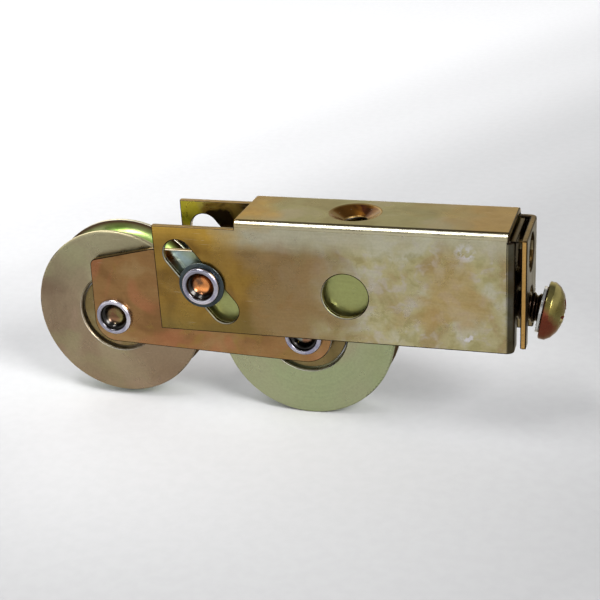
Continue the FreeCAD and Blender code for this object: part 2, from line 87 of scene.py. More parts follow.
class Graph:
    """A material's node tree, with short calls for the nodes used here."""

    def __init__(self, name):
        self.material = bpy.data.materials.new(name)
        self.material.use_nodes = True
        self.tree = self.material.node_tree
        self.tree.nodes.clear()
        output = self.tree.nodes.new("ShaderNodeOutputMaterial")
        self.shader = self.tree.nodes.new("ShaderNodeBsdfPrincipled")
        self.put(self.shader.outputs[0], output.inputs[0])
        coordinates = self.tree.nodes.new("ShaderNodeTexCoord")
        self.place = coordinates.outputs["Object"]
        self.facing = coordinates.outputs["Normal"]

    def put(self, value, socket):
        """Link a socket's output, or set a plain value."""
        if isinstance(value, bpy.types.NodeSocket):
            self.tree.links.new(value, socket)
        else:
            socket.default_value = value

    def node(self, kind, **inputs):
        """New node; an underscore in an input's name stands for a space."""
        node = self.tree.nodes.new(f"ShaderNode{kind}")
        for name, value in inputs.items():
            self.put(value, node.inputs[name.replace("_", " ")])
        return node

    def shade(self, **inputs):
        """Set inputs of the surface shader."""
        for name, value in inputs.items():
            self.put(value, self.shader.inputs[name.replace("_", " ")])

    def mapped(self, scale=(1, 1, 1), turn=(0, 0, 0), shift=(0, 0, 0)):
        rotation = [math.radians(angle) for angle in turn]
        return self.node("Mapping", Vector=self.place, Scale=scale, Rotation=rotation,
                         Location=shift).outputs[0]

    def noise(self, scale, detail=3, rough=0.5, warp=0, vector=None):
        return self.node("TexNoise", Vector=vector or self.place, Scale=scale, Detail=detail, Roughness=rough,
                         Distortion=warp).outputs["Fac"]

    def ramp(self, value, *stops):
        """Colour ramp from (position, colour or grey) pairs."""
        node = self.tree.nodes.new("ShaderNodeValToRGB")
        node.color_ramp.interpolation = "EASE"
        elements = node.color_ramp.elements
        while len(elements) < len(stops):
            elements.new(0.5)
        for element, (position, colour) in zip(elements, stops):
            element.position = position
            element.color = colour if isinstance(colour, tuple) else (colour, colour, colour, 1)
        self.put(value, node.inputs[0])
        return node.outputs[0]

    def mix(self, factor, first, second, blend="MIX"):
        node = self.node("Mix")
        node.data_type = "RGBA"
        node.blend_type = blend
        self.put(factor, node.inputs["Factor"])
        self.put(first, node.inputs[6])
        self.put(second, node.inputs[7])
        return node.outputs[2]

    def tint(self, colour, target, mask, strength):
        """Move a colour towards a target where a mask is 1."""
        return self.mix(self.times(mask, strength), colour, target)

    def math(self, operation, first, second=0.0):
        node = self.node("Math")
        node.operation = operation
        self.put(first, node.inputs[0])
        self.put(second, node.inputs[1])
        return node.outputs[0]

    def times(self, first, *others):
        for other in others:
            first = self.math("MULTIPLY", first, other)
        return first

    def plus(self, first, second):
        return self.math("ADD", first, second)

    def wander(self, scale, reach, detail=3, warp=0.5):
        """Noise around 0, which makes a border irregular."""
        return self.times(self.math("SUBTRACT", self.noise(scale, detail, 0.5, warp), 0.5), reach)

    def span(self, value, low, high, to_low=0.0, to_high=1.0):
        return self.node("MapRange", Value=value, From_Min=low, From_Max=high, To_Min=to_low,
                         To_Max=to_high).outputs["Result"]

    def band(self, value, low, high, soft):
        """1 inside a range, fading to 0 over soft on either side."""
        return self.times(self.span(value, low - soft, low), self.span(value, high, high + soft, 1.0, 0.0))

    def axis(self, name):
        return self.node("SeparateXYZ", Vector=self.place).outputs[name]

    def depth(self):
        """Distance from the middle plane, across the roller."""
        return self.math("ABSOLUTE", self.axis("Y"))

    def dot(self, vector, direction):
        node = self.tree.nodes.new("ShaderNodeVectorMath")
        node.operation = "DOT_PRODUCT"
        self.put(vector, node.inputs[0])
        self.put(direction, node.inputs[1])
        return node.outputs["Value"]

    def radius(self, centre, about="Y"):
        """Distance from the axis along Y or Z through a point."""
        kept = (1, 0, 1) if about == "Y" else (1, 1, 0)
        shift = [-place * keep for place, keep in zip(centre, kept)]
        node = self.tree.nodes.new("ShaderNodeVectorMath")
        node.operation = "LENGTH"
        self.put(self.mapped(scale=kept, shift=shift), node.inputs[0])
        return node.outputs["Value"]

    def bump(self, height, strength, distance, **after):
        return self.node("Bump", Strength=strength, Distance=distance, Height=height, **after).outputs[0]


MATERIALS = {}
SCRATCH_STRETCH = (170, 2600, 5200)
SCRATCH_COLOUR = linear(225, 222, 205)
CLEAR_FILM = 0.12
GLANCING_TINT = (0.80, 0.72, 0.56, 1)


def scratches(graph, seeds):
    """Sparse hairline scratches: stretched noise in a few directions, kept only at its peaks."""
    total = None
    for index, (turn, shift) in enumerate(seeds):
        vector = graph.mapped(scale=SCRATCH_STRETCH, turn=turn, shift=shift)
        lines = graph.ramp(graph.noise(1.0, 1, 0.5, 0, vector), (0.72, 0.0), (0.78, 1.0))
        gate = graph.ramp(graph.noise(130 + 70 * index, 2, 0.5), (0.56, 0.0), (0.68, 1.0))
        lines = graph.times(lines, gate)
        total = lines if total is None else graph.math("MAXIMUM", total, lines)
    return total


def chromate(name, tones, accents=(), paint=None, rough=(0.22, 0.38), grain=(200, 2200, 2200), streak=0.2,
             wear=0.22, patch=95, ripple=0.2, seed=0.0):
    """Yellow-chromate zinc plate. tones: from dark to light; accents: (colour, scale, low, high, strength)
    patches; paint: a function that changes the colour by place."""
    graph = Graph(name)
    moved = graph.mapped(shift=(seed, seed * 1.7, -seed))
    stops = [(0.32 + 0.36 * index / (len(tones) - 1), tone) for index, tone in enumerate(tones)]
    colour = graph.ramp(graph.noise(patch, 3, 0.5, 0.6, moved), *stops)
    for patina, scale, low, high, strength in accents:
        cloud = graph.noise(scale, 2, 0.5, 0.8, graph.mapped(shift=(seed + scale, 0, scale)))
        colour = graph.tint(colour, patina, graph.ramp(cloud, (low, 0.0), (high, 1.0)), strength)
    if paint:
        colour = paint(graph, colour)
    fine = graph.noise(1.0, 4, 0.6, 0, graph.mapped(scale=grain))
    speck = graph.noise(2200, 2, 0.6)
    colour = graph.mix(streak, colour, graph.ramp(fine, (0.3, 0.68), (0.7, 1.0)), "MULTIPLY")
    colour = graph.mix(0.15, colour, graph.ramp(speck, (0.35, 0.55), (0.65, 1.0)), "MULTIPLY")
    lines = scratches(graph, (((0, 8, 0), (seed, 0, 3)), ((0, -31, 6), (7, seed, 1)),
                              ((0, 64, 0), (2, 5, seed))))
    colour = graph.tint(colour, SCRATCH_COLOUR, lines, wear)
    haze = graph.noise(240, 3, 0.55, 0.5, moved)
    roughness = graph.plus(graph.span(haze, 0.3, 0.7, *rough), graph.times(fine, 0.05))
    grained = graph.plus(graph.times(fine, 0.4), graph.times(speck, 0.2))
    height = graph.math("SUBTRACT", grained, graph.times(lines, 0.8))
    wave = graph.bump(graph.noise(80, 2, 0.5, 0.2), ripple, 0.6 * MM)
    graph.shade(Base_Color=colour, Metallic=1.0, Roughness=roughness, Coat_Weight=CLEAR_FILM,
                Coat_Roughness=0.16, Specular_Tint=GLANCING_TINT,
                Normal=graph.bump(height, 0.3, 0.04 * MM, Normal=wave))
    MATERIALS[name] = graph.material


# ---------------------------------------------------------------- paint of the housing

# A zone's mask goes from 0 at the first place to 1 at the second. A place is x along the housing, y across
# it, z up or a distance from a middle.
FRONT_WALL = (-7.5 * MM, -8.3 * MM)
PALE_ZONE = (-48.0 * MM, -29.0 * MM)
GOLD_ZONE = (-50.5 * MM, -60.5 * MM)
TAN_ZONE = (-22.0 * MM, -13.0 * MM)
TOP_FACE = (5.8 * MM, 6.3 * MM)
TOP_SIDE = (-8.3 * MM, -7.5 * MM)
BROWN_UP = (3.0 * MM, -1.0 * MM)
SHEEN_UNDER_FOLD = (0.0, 4.0 * MM)
LOWER_WALL = (-12.0 * MM, -17.5 * MM)
FOLD_HEIGHT = (4.4 * MM, 4.8 * MM)
FOLD_SIDE = (-6.9 * MM, -7.1 * MM)
INNER_FACES = (7.75 * MM, 7.65 * MM)
UNDER_PLATE = (5.6 * MM, 5.3 * MM)
TAB_BEND = (-3.0 * MM, -3.4 * MM)
YELLOW_ZONE = (-72.0 * MM, -75.0 * MM)
DIMPLE_LIP = (5.6 * MM, 5.0 * MM)
DIMPLE_UP = (3.0 * MM, 3.3 * MM)
WALL_FOLD_START = (-3.8 * MM, -3.4 * MM)
WALL_FOLD_END = (-1.8 * MM, -2.2 * MM)
WALL_FOLD_SIDE = (-6.8 * MM, -7.4 * MM)
TAB_FACE = (-0.4 * MM, -0.1 * MM)

# Bands: low, high and the width of the fade at either side.
BROWN_BAND = (-54.0 * MM, -44.0 * MM, 9.0 * MM)
STRAW_ALONG = (-19.5 * MM, -10.0 * MM, 4.0 * MM)
STRAW_UP = (-12.0 * MM, -4.0 * MM, 3.0 * MM)
BEHIND_HOLE = (-50.0 * MM, -30.0 * MM, 6.0 * MM)
GAP_BETWEEN_TABS = (-2.35 * MM, -1.05 * MM, 0.25 * MM)

DIMPLE = (-35.9 * MM, 0, 0)
SCUFFS = (((-11.9 * MM, 2.4 * MM), (2.4 * MM, 2.2 * MM)), ((-11.2 * MM, -15.9 * MM), (1.8 * MM, 1.0 * MM)))


def housing_places(graph):
    """Coordinates and masks that several zones share: x and z are plain; along, level and height have noise
    added, which makes the zones' borders irregular."""
    x, z = graph.axis("X"), graph.axis("Z")
    wander = graph.wander(75, 30.0 * MM)
    along = graph.plus(x, wander)
    return SimpleNamespace(
        x=x, z=z, along=along, level=graph.plus(z, wander), height=graph.plus(z, graph.times(wander, 0.25)),
        front=graph.span(graph.axis("Y"), *FRONT_WALL), gold=graph.span(along, *GOLD_ZONE))


def pale_clouds(graph, colour, place):
    """Pale grey and straw clouds on the front wall, from its middle to the screw end."""
    pale = graph.ramp(graph.noise(130, 3, 0.5, 0.6, graph.mapped(shift=(5, 1, 2))),
                      (0.34, linear(176, 156, 110)), (0.5, linear(193, 184, 138)),
                      (0.64, linear(203, 199, 172)))
    flecks = graph.noise(420, 2, 0.5, 0.5)
    pale = graph.mix(graph.span(flecks, 0.54, 0.66, 0.0, 0.5), pale, linear(202, 192, 186))
    pale = graph.mix(graph.span(flecks, 0.46, 0.34, 0.0, 0.5), pale, linear(160, 152, 92))
    mask = graph.times(place.front, graph.span(place.along, *PALE_ZONE))
    return graph.tint(colour, pale, mask, 0.85)


def scuff_marks(graph, colour, place):
    """Pale rubbed ovals on the front wall near the screw end."""
    def offset(value, middle, reach):
        return graph.math("POWER", graph.math("DIVIDE", graph.math("SUBTRACT", value, middle), reach), 2)

    for (along, up), (wide, tall) in SCUFFS:
        oval = graph.span(graph.plus(offset(place.x, along, wide), offset(place.z, up, tall)), 1.0, 0.3)
        broken = graph.span(graph.noise(700, 2, 0.6), 0.44, 0.54)
        colour = graph.tint(colour, linear(228, 224, 232), graph.times(oval, broken, place.front), 0.75)
    return colour


def top_patina(graph, colour, place):
    """Olive top plate, tan towards the screw end."""
    top = graph.times(graph.span(place.z, *TOP_FACE), graph.span(graph.axis("Y"), *TOP_SIDE))
    cloud = graph.noise(110, 3, 0.5, 0.5, graph.mapped(shift=(2, 6, 1)))
    olive = graph.ramp(cloud, (0.36, linear(116, 108, 70)), (0.5, linear(126, 121, 82)),
                       (0.64, linear(134, 126, 98)))
    colour = graph.mix(top, colour, olive)
    tan = graph.times(top, graph.span(place.along, *TAN_ZONE))
    return graph.tint(colour, linear(142, 112, 60), tan, 0.9)


def wall_patina(graph, colour, place):
    """Gold towards the open end, brown beside it, straw near the screw end; paler above, where a painted
    reflection lightens the wall under the fold, and darker below.
    """
    gold = graph.ramp(graph.noise(110, 3, 0.5, 0.6), (0.35, linear(128, 94, 34)),
                      (0.65, linear(158, 122, 48)))
    colour = graph.tint(colour, gold, place.gold, 0.9)
    brown = graph.times(graph.band(place.along, *BROWN_BAND), graph.span(place.z, *BROWN_UP))
    colour = graph.tint(colour, linear(150, 118, 74), brown, 0.7)
    straw = graph.times(graph.band(place.along, *STRAW_ALONG), graph.band(place.level, *STRAW_UP),
                        place.front)
    colour = graph.tint(colour, linear(182, 150, 92), straw, 0.6)
    # Painted reflection: the upper wall is paled towards the fold.
    pale = graph.mix(place.gold, linear(194, 190, 164), linear(208, 166, 72))
    upper = graph.times(graph.span(place.height, *SHEEN_UNDER_FOLD), place.front)
    colour = graph.tint(colour, pale, upper, 0.75)
    lower = graph.times(graph.span(place.height, *LOWER_WALL), place.gold)
    return graph.tint(colour, linear(116, 102, 56), lower, 0.6)


def fold_highlight_and_shade(graph, colour, place):
    """Painted highlight and painted shade along the front top fold, by how far the rounded surface faces up.
    """
    fold = graph.times(graph.span(place.z, *FOLD_HEIGHT), graph.span(graph.axis("Y"), *FOLD_SIDE))
    upward = graph.dot(graph.facing, (0, 0, 1))
    # A painted highlight on the crest, a painted dark reflection just above it and painted shade on the lower
    # shoulder.
    for line, target, strength in (
            ((0.68, 0.84, 0.03), linear(206, 202, 190), 0.7),
            ((0.880, 0.996, 0.004), linear(36, 26, 15), 0.8),
            ((0.15, 0.58, 0.06), linear(112, 102, 74), 0.5)):
        colour = graph.tint(colour, target, graph.times(fold, graph.band(upward, *line)), strength)
    return colour


def inner_olive(graph, colour, place):
    """Dark olive inside the channel, yellow at the open end, and painted light behind the side hole."""
    inside = graph.times(graph.span(graph.depth(), *INNER_FACES), graph.span(place.x, *TAB_BEND),
                         graph.span(place.z, *UNDER_PLATE))
    olive = graph.ramp(graph.noise(170, 3, 0.5, 1.2), (0.36, linear(44, 28, 12)),
                       (0.5, linear(140, 112, 50)), (0.64, linear(186, 170, 92)))
    olive = graph.mix(graph.span(place.along, *YELLOW_ZONE), olive, linear(206, 190, 60))
    # Painted light: the inside is lightened behind the side hole, as if lit through it.
    olive = graph.tint(olive, linear(222, 180, 118), graph.band(place.x, *BEHIND_HOLE), 0.85)
    return graph.mix(inside, colour, olive)


def dimple_shade_and_reflection(graph, colour, place):
    """Painted shade and reflection: dark copper brown in the dimple of the top plate."""
    cup = graph.times(graph.span(graph.radius(DIMPLE, "Z"), *DIMPLE_LIP), graph.span(place.z, *DIMPLE_UP))
    # Painted shade and reflection in the dimple's hollow.
    painted_dimple_shade = graph.ramp(graph.noise(190, 2, 0.5, 0.8), (0.36, linear(46, 18, 5)), (0.62, linear(96, 60, 14)))
    return graph.mix(cup, colour, painted_dimple_shade)


def screw_end_shade(graph, colour, place):
    """Painted shade: dark at the front wall's fold and between the two tabs, and a painted dark reflection on
    the outer tab's face.
    """
    gap = graph.band(place.x, *GAP_BETWEEN_TABS)
    bend = graph.times(graph.span(place.x, *WALL_FOLD_START), graph.span(place.x, *WALL_FOLD_END),
                       graph.span(graph.axis("Y"), *WALL_FOLD_SIDE))
    # Painted shade between the tabs and a painted dark reflection on the fold.
    dark = graph.math("MAXIMUM", gap, graph.times(bend, 0.93))
    colour = graph.tint(colour, linear(16, 10, 7), dark, 0.95)
    # Painted dark reflection on the outer tab's face.
    return graph.tint(colour, linear(66, 66, 55), graph.span(place.x, *TAB_FACE), 0.8)


def housing_paint(graph, colour):
    """The housing's patina and its painted highlights and shade, zone by zone; a later zone covers the
    earlier ones.
    """
    place = housing_places(graph)
    for zone in (pale_clouds, scuff_marks, top_patina, wall_patina, fold_highlight_and_shade, inner_olive, dimple_shade_and_reflection,
                 screw_end_shade):
        colour = zone(graph, colour, place)
    return colour


# ---------------------------------------------------------------- paint of the other pieces

# Masks again go from 0 at the first place to 1 at the second.
COVERED_ALONG = (-76.5 * MM, -74.0 * MM)
COVERED_UP = (-19.0 * MM, -16.5 * MM)
GREEN_ALONG = (-72.0 * MM, -67.0 * MM)
WHEEL_LOWER = (12.0 * MM, -8.0 * MM)  # above the wheel's centre
WHEEL_UPPER = (10.0 * MM, 20.0 * MM)
TREAD_SIDE = (3.45 * MM, 3.25 * MM)
TREAD_RADIUS = (15.8 * MM, 16.1 * MM)
TREAD_SHADE = (2.2 * MM, 3.2 * MM)
RIVET_CUP = (3.3 * MM, 3.0 * MM)
RIVET_CORE = (2.25 * MM, 1.5 * MM)
SCREW_SHANK = (4.5 * MM, 4.0 * MM)
NOTCH_LEVEL = (4.4 * MM, 4.7 * MM)
WALL_SIDE = (4.6 * MM, 5.0 * MM)
OPEN_END = (-77.4 * MM, -78.0 * MM)
SCREW_END = (-4.5 * MM, -3.8 * MM)
HOLE_SIDE = (6.9 * MM, 7.1 * MM)
CORNER_START = (-6.5 * MM, -5.5 * MM)
CORNER_END = (-1.7 * MM, -1.9 * MM)
TAB_STRIP_SIDE = (-6.6 * MM, -6.8 * MM)

# Bands: low, high and the width of the fade at either side.
HOLES_UP = (-18.4 * MM, 4.6 * MM, 0.2 * MM)
HOLES_ALONG = (-77.4 * MM, -8.0 * MM, 0.2 * MM)
TAB_STRIP_ALONG = (-1.35 * MM, -0.30 * MM, 0.15 * MM)


def centre_of(node):
    low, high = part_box(node)
    return [(first + last) / 2 for first, last in zip(low, high)]


def bracket_paint(graph, colour):
    """Orange brown outside the channel; where the channel covers it, blue grey, which is a painted
    reflection, and then olive.
    """
    along = graph.plus(graph.axis("X"), graph.wander(120, 12.0 * MM))
    covered = graph.times(graph.span(along, *COVERED_ALONG), graph.span(graph.axis("Z"), *COVERED_UP))
    # Painted reflection: blue grey where the covered plate shows through the slot.
    blue = graph.ramp(graph.noise(90, 3, 0.5, 0.7), (0.35, linear(150, 168, 158)),
                      (0.5, linear(166, 190, 196)), (0.66, linear(178, 200, 216)))
    tone = graph.mix(graph.span(along, *GREEN_ALONG), blue, linear(160, 164, 104))
    return graph.mix(covered, colour, tone)


def wheel_paint(centre, shaded):
    """Painted shade below and painted light above, faint rings on the sides, and green iridescence in the
    tread, paled as a painted highlight and with painted shade next to the flanges.
    """
    def paint(graph, colour):
        level = graph.plus(graph.axis("Z"), graph.times(graph.noise(60, 2, 0.5), 12.0 * MM))
        level = graph.math("SUBTRACT", level, centre[2])
        # Painted shade on the lower part of the wheel and painted light on the upper part.
        colour = graph.tint(colour, shaded, graph.span(level, *WHEEL_LOWER), 0.5)
        colour = graph.tint(colour, linear(172, 168, 132), graph.span(level, *WHEEL_UPPER), 0.6)
        radius = graph.radius(centre)
        outward = graph.node("CombineXYZ", X=graph.times(radius, 1500)).outputs[0]
        rings = graph.noise(1.0, 3, 0.6, 0, outward)
        colour = graph.mix(0.12, colour, graph.ramp(rings, (0.35, 0.62), (0.65, 1.0)), "MULTIPLY")
        across = graph.depth()
        tread = graph.times(graph.span(across, *TREAD_SIDE), graph.span(radius, *TREAD_RADIUS))
        green = graph.ramp(graph.noise(130, 2, 0.5, 0.5), (0.35, linear(140, 176, 84)),
                           (0.62, linear(196, 212, 140)))
        # Painted shade in the tread next to the flanges.
        green = graph.mix(graph.span(across, *TREAD_SHADE), green, linear(70, 52, 34))
        return graph.mix(tread, colour, green)
    return paint


def rivet_paint(centre, core):
    """Bright rolled rim around a cup with painted shade inside the rim and a coloured core."""
    def paint(graph, colour):
        radius = graph.radius(centre)
        # Painted shade on the inner slope of the rim and down in the cup.
        colour = graph.mix(graph.span(radius, *RIVET_CUP), colour, linear(46, 44, 42))
        middle = graph.ramp(graph.noise(420, 2, 0.5, 0.5), (0.38, linear(118, 84, 60)), (0.62, core))
        return graph.mix(graph.span(radius, *RIVET_CORE), colour, middle)
    return paint


def screw_paint(graph, colour):
    """Olive above, painted shade in red brown where the surface faces down, and dark on the thread."""
    down = graph.plus(graph.dot(graph.facing, (-0.45, -0.35, -0.82)), graph.wander(260, 0.5, 2, 0.6))
    # Painted shade: red brown where the surface faces down.
    colour = graph.mix(graph.span(down, -0.15, 0.15), colour, linear(108, 52, 34))
    along = graph.dot(graph.place, SCREW_AXIS)
    return graph.mix(graph.span(along, *SCREW_SHANK), colour, linear(40, 27, 18))


def edge_highlight_and_shade(graph, colour):
    """Painted highlight and shade on broken edges: bright where an edge faces up or the screw end, brown at
    the top plate, painted shade elsewhere and at both ends of the walls."""
    along = graph.axis("X")
    colour = graph.mix(graph.span(graph.axis("Z"), *NOTCH_LEVEL), colour, linear(112, 88, 46))
    side = graph.span(graph.depth(), *WALL_SIDE)
    # Painted shade on edges that don't face up towards the screw end, at the open end of the walls and at the
    # screw end.
    painted_shade_side = graph.span(graph.dot(graph.facing, (0.7, 0, 0.7)), 0.40, 0.0)
    open_end = graph.times(side, graph.span(along, *OPEN_END))
    dark = graph.math("MAXIMUM", painted_shade_side, open_end)
    dark = graph.math("MAXIMUM", dark, graph.span(along, *SCREW_END))
    return graph.mix(dark, colour, linear(36, 26, 15))


def sheared_paint(graph, colour):
    """Painted shade in the walls' holes and at the folded corner, bright along the outer tab's front edge."""
    along = graph.axis("X")
    rim = graph.times(graph.span(graph.depth(), *HOLE_SIDE), graph.band(graph.axis("Z"), *HOLES_UP),
                      graph.band(along, *HOLES_ALONG))
    corner = graph.times(graph.span(along, *CORNER_START), graph.span(along, *CORNER_END))
    # Painted shade on the holes' walls and at the folded corner between the tabs.
    colour = graph.tint(colour, linear(40, 27, 15), graph.math("MAXIMUM", rim, corner), 0.9)
    strip = graph.times(graph.band(along, *TAB_STRIP_ALONG), graph.span(graph.axis("Y"), *TAB_STRIP_SIDE))
    return graph.mix(strip, colour, linear(200, 156, 88))


# ---------------------------------------------------------------- materials

PINK = linear(178, 146, 120)
TURNED = (1500, 1500, 1500)  # even grain of the turned and pressed pieces

SCREW_ORIGIN = Vector((-0.6, 0, -11.8)) * MM
SCREW_SLOPE = math.radians(10.3)
SCREW_TURN = Matrix.Rotation(SCREW_SLOPE, 4, "Y")
SCREW_PLACE = Matrix.Translation(SCREW_ORIGIN) @ SCREW_TURN
SCREW_AXIS = (math.cos(SCREW_SLOPE), 0, -math.sin(SCREW_SLOPE))


def make_sheet_materials():
    chromate(
        "housing_chromate", (linear(132, 114, 80), linear(144, 130, 96), linear(156, 146, 116)),
        accents=((PINK, 75, 0.54, 0.68, 0.35), (linear(146, 144, 100), 105, 0.54, 0.68, 0.35),
                 (linear(172, 166, 158), 150, 0.58, 0.72, 0.35),
                 (linear(150, 112, 70), 170, 0.60, 0.70, 0.4)),
        paint=housing_paint, seed=1.3)
    chromate(
        "bracket_chromate", (linear(132, 96, 58), linear(150, 113, 70), linear(160, 128, 84)),
        accents=((linear(176, 112, 78), 90, 0.48, 0.66, 0.5), (linear(150, 128, 60), 130, 0.57, 0.7, 0.4)),
        paint=bracket_paint, seed=4.1)
    chromate(
        "shield_chromate", (linear(112, 96, 58), linear(128, 110, 70), linear(138, 124, 86)),
        accents=((PINK, 120, 0.55, 0.7, 0.4),), grain=(900, 900, 900), seed=2.9)
    # Broken edges: zinc plate made light as a painted highlight, with painted shade from its paint.
    chromate(
        "cut_edge_zinc", (linear(220, 212, 186), linear(232, 226, 208), linear(240, 238, 230)),
        paint=edge_highlight_and_shade, rough=(0.34, 0.46), seed=3.3)
    chromate(
        "sheared_zinc", (linear(84, 62, 30), linear(104, 80, 40), linear(122, 98, 56)),
        accents=((linear(56, 38, 20), 260, 0.52, 0.66, 0.6),), paint=sheared_paint, grain=(2600, 300, 2600),
        streak=0.5, seed=3.9)


def make_wheel_materials():
    left = (linear(132, 112, 90), linear(152, 134, 108), linear(174, 162, 130))
    right = (linear(152, 158, 112), linear(164, 172, 130), linear(170, 168, 134))
    for side, tones, shaded, seed in (("left", left, linear(130, 106, 82), 7.7),
                                      ("right", right, linear(150, 158, 120), 9.2)):
        chromate(
            f"{side}_wheel_chromate", tones,
            accents=((linear(176, 148, 128), 62, 0.57, 0.72, 0.35),
                     (linear(158, 164, 116), 80, 0.56, 0.72, 0.35)),
            paint=wheel_paint(centre_of(f"{side}_wheel_rim"), shaded), grain=(1200, 1200, 1200), streak=0.1,
            patch=45, ripple=0.12, seed=seed)


def make_small_materials():
    chromate(
        "screw_chromate", (linear(104, 94, 48), linear(120, 111, 64), linear(132, 126, 86)),
        accents=((linear(110, 50, 26), 130, 0.52, 0.66, 0.6),), paint=screw_paint, rough=(0.16, 0.28),
        seed=5.5)
    for name, core in (("guide_rivet", linear(226, 146, 84)), ("left_axle_rivet", linear(128, 118, 72)),
                       ("right_axle_rivet", linear(120, 122, 112))):
        chromate(
            f"{name}_zinc", (linear(140, 138, 150), linear(170, 167, 180), linear(204, 200, 208)),
            accents=((linear(130, 128, 156), 300, 0.5, 0.65, 0.6),), rough=(0.14, 0.26), grain=TURNED,
            streak=0.12, paint=rivet_paint(centre_of(name), core), seed=6.1)
    chromate(
        "bearing_steel", (linear(140, 140, 140), linear(166, 166, 166), linear(180, 180, 178)),
        rough=(0.12, 0.22), grain=TURNED, wear=0.15, seed=8.8)
    chromate(
        "bright_washer_zinc", (linear(170, 170, 168), linear(196, 196, 192), linear(214, 212, 206)),
        rough=(0.16, 0.28), grain=TURNED, seed=2.6)
    chromate(
        "washer_zinc", (linear(50, 56, 58), linear(66, 74, 76), linear(96, 104, 102)),
        accents=((linear(60, 74, 80), 260, 0.5, 0.65, 0.6),), rough=(0.2, 0.34), grain=TURNED, seed=2.2)


make_sheet_materials()
make_wheel_materials()
make_small_materials()


# ---------------------------------------------------------------- mesh helpers

MERGE_DISTANCE = 0.001 * MM
FLAT_ANGLE = math.radians(0.6)
SHARP_ANGLE = math.radians(28)


def body_of(node):
    """Name of the body that a CAD node belongs to."""
    for body, members in frame["record"]["behaviour"]["bodies"].items():
        if node in members:
            return body
    raise ValueError(node)


def replace_node(node, mesh, *materials):
    """Show a mesh in place of a CAD node, on the same body."""
    piece = bpy.data.objects.new(f"{node}_finished", mesh)
    bpy.context.scene.collection.objects.link(piece)
    for material in materials:
        mesh.materials.append(MATERIALS[material])
    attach(piece, body_of(node))
    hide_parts(node)
    return piece


def start_copy(node):
    """A CAD node's mesh without its materials, and an editable copy of its surface."""
    mesh = NODES[node].data.copy()
    mesh.materials.clear()
    bm = bmesh.new()
    bm.from_mesh(mesh)
    bmesh.ops.remove_doubles(bm, verts=bm.verts, dist=MERGE_DISTANCE)
    return mesh, bm


def sharp_edges(bm):
    return [edge for edge in bm.edges
            if len(edge.link_faces) == 2 and edge.calc_face_angle(0) > SHARP_ANGLE]


def bevel(bm, edges, width, clamp):
    """Round edges with new faces that use the mesh's second material."""
    bmesh.ops.bevel(bm, geom=edges, offset=width, segments=2, profile=0.6, affect="EDGES",
                    clamp_overlap=clamp, material=1)


def store(bm, mesh, sharp_degrees):
    """Write the surface to its mesh, smooth except across sharp edges."""
    for face in bm.faces:
        face.smooth = True
    bm.to_mesh(mesh)
    bm.free()
    mesh.set_sharp_from_angle(angle=math.radians(sharp_degrees))


def is_near(value, levels, slack=0.03 * MM):
    return any(abs(value - level) < slack for level in levels)


# Where the shear cut the sheet: the ends of the channel's walls and of its top plate, the edges of its two
# tabs, the tops of its walls beyond the plate, and every level face below FOOT.
CUT_ENDS = (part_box("housing_channel")[0][0], -59.6 * MM)
TAB_EDGES = (-7.0 * MM, 6.2 * MM)
WALL_TOPS = (4.8 * MM,)
FOOT = -16.0 * MM
TABS_START = -3.5 * MM
WEB_START = -21.5 * MM


def housing_sheared(normal, centre):
    """Is a face of the channel one that the shear or punch cut?"""
    x, y, z = (abs(part) for part in normal)
    if x > 0.95:
        return is_near(centre.x, CUT_ENDS)
    if y > 0.95:
        return is_near(centre.y, TAB_EDGES)
    if z > 0.95:
        return centre.z < FOOT or is_near(centre.z, WALL_TOPS)
    if y < 0.05:
        return True
    return x < 0.05 and centre.x > TABS_START


def bracket_sheared(normal, centre):
    """The same for the bracket, whose sheet faces are its two sides and its end web."""
    if abs(normal.y) > 0.95:
        return False
    return abs(normal.z) >= 0.1 or centre.x <= WEB_START


def points_along(edges, pitch):
    """Search tree of points along edges."""
    points = []
    for edge in edges:
        steps = max(1, math.ceil(edge.calc_length() / pitch))
        points += [edge.verts[0].co.lerp(edge.verts[1].co, step / steps) for step in range(steps + 1)]
    tree = KDTree(len(points))
    for index, point in enumerate(points):
        tree.insert(point, index)
    tree.balance()
    return tree


def softened_copy(node, width, face_material, edge_material, sheared=None, clamp=False):
    """A CAD node's mesh with its sharp edges rounded; the new narrow faces get their own material.

    Without clamp, a vertex that the bevel throws past a short edge is brought back to the surface."""
    mesh, bm = start_copy(node)
    bmesh.ops.dissolve_limit(bm, angle_limit=FLAT_ANGLE, verts=bm.verts, edges=bm.edges)
    for face in bm.faces:
        face.material_index = 2 if sheared and sheared(face.normal, face.calc_center_median()) else 0
    surface = BVHTree.FromBMesh(bm)
    sharp = sharp_edges(bm)
    rims = points_along(sharp, 0.5 * width)
    bevel(bm, sharp, width, clamp)
    for vert in {vert for face in bm.faces if face.material_index == 1 for vert in face.verts}:
        rim, _, distance = rims.find(vert.co)
        if distance > 2 * width:
            vert.co = rim + (vert.co - rim).normalized() * width
        nearest, _, _, distance = surface.find_nearest(vert.co)
        if distance > 0.5 * width:
            vert.co = nearest
    store(bm, mesh, 35)
    materials = [face_material, edge_material] + (["sheared_zinc"] if sheared else [])
    piece = replace_node(node, mesh, *materials)
    weighted = piece.modifiers.new("weighted_normals", "WEIGHTED_NORMAL")
    weighted.keep_sharp = True


def dress(node, material):
    """Give a CAD node a finished material."""
    mesh = NODES[node].data
    mesh.materials.clear()
    mesh.materials.append(MATERIALS[material])
    for face in mesh.polygons:
        face.material_index = 0


# ---------------------------------------------------------------- adjusting screw

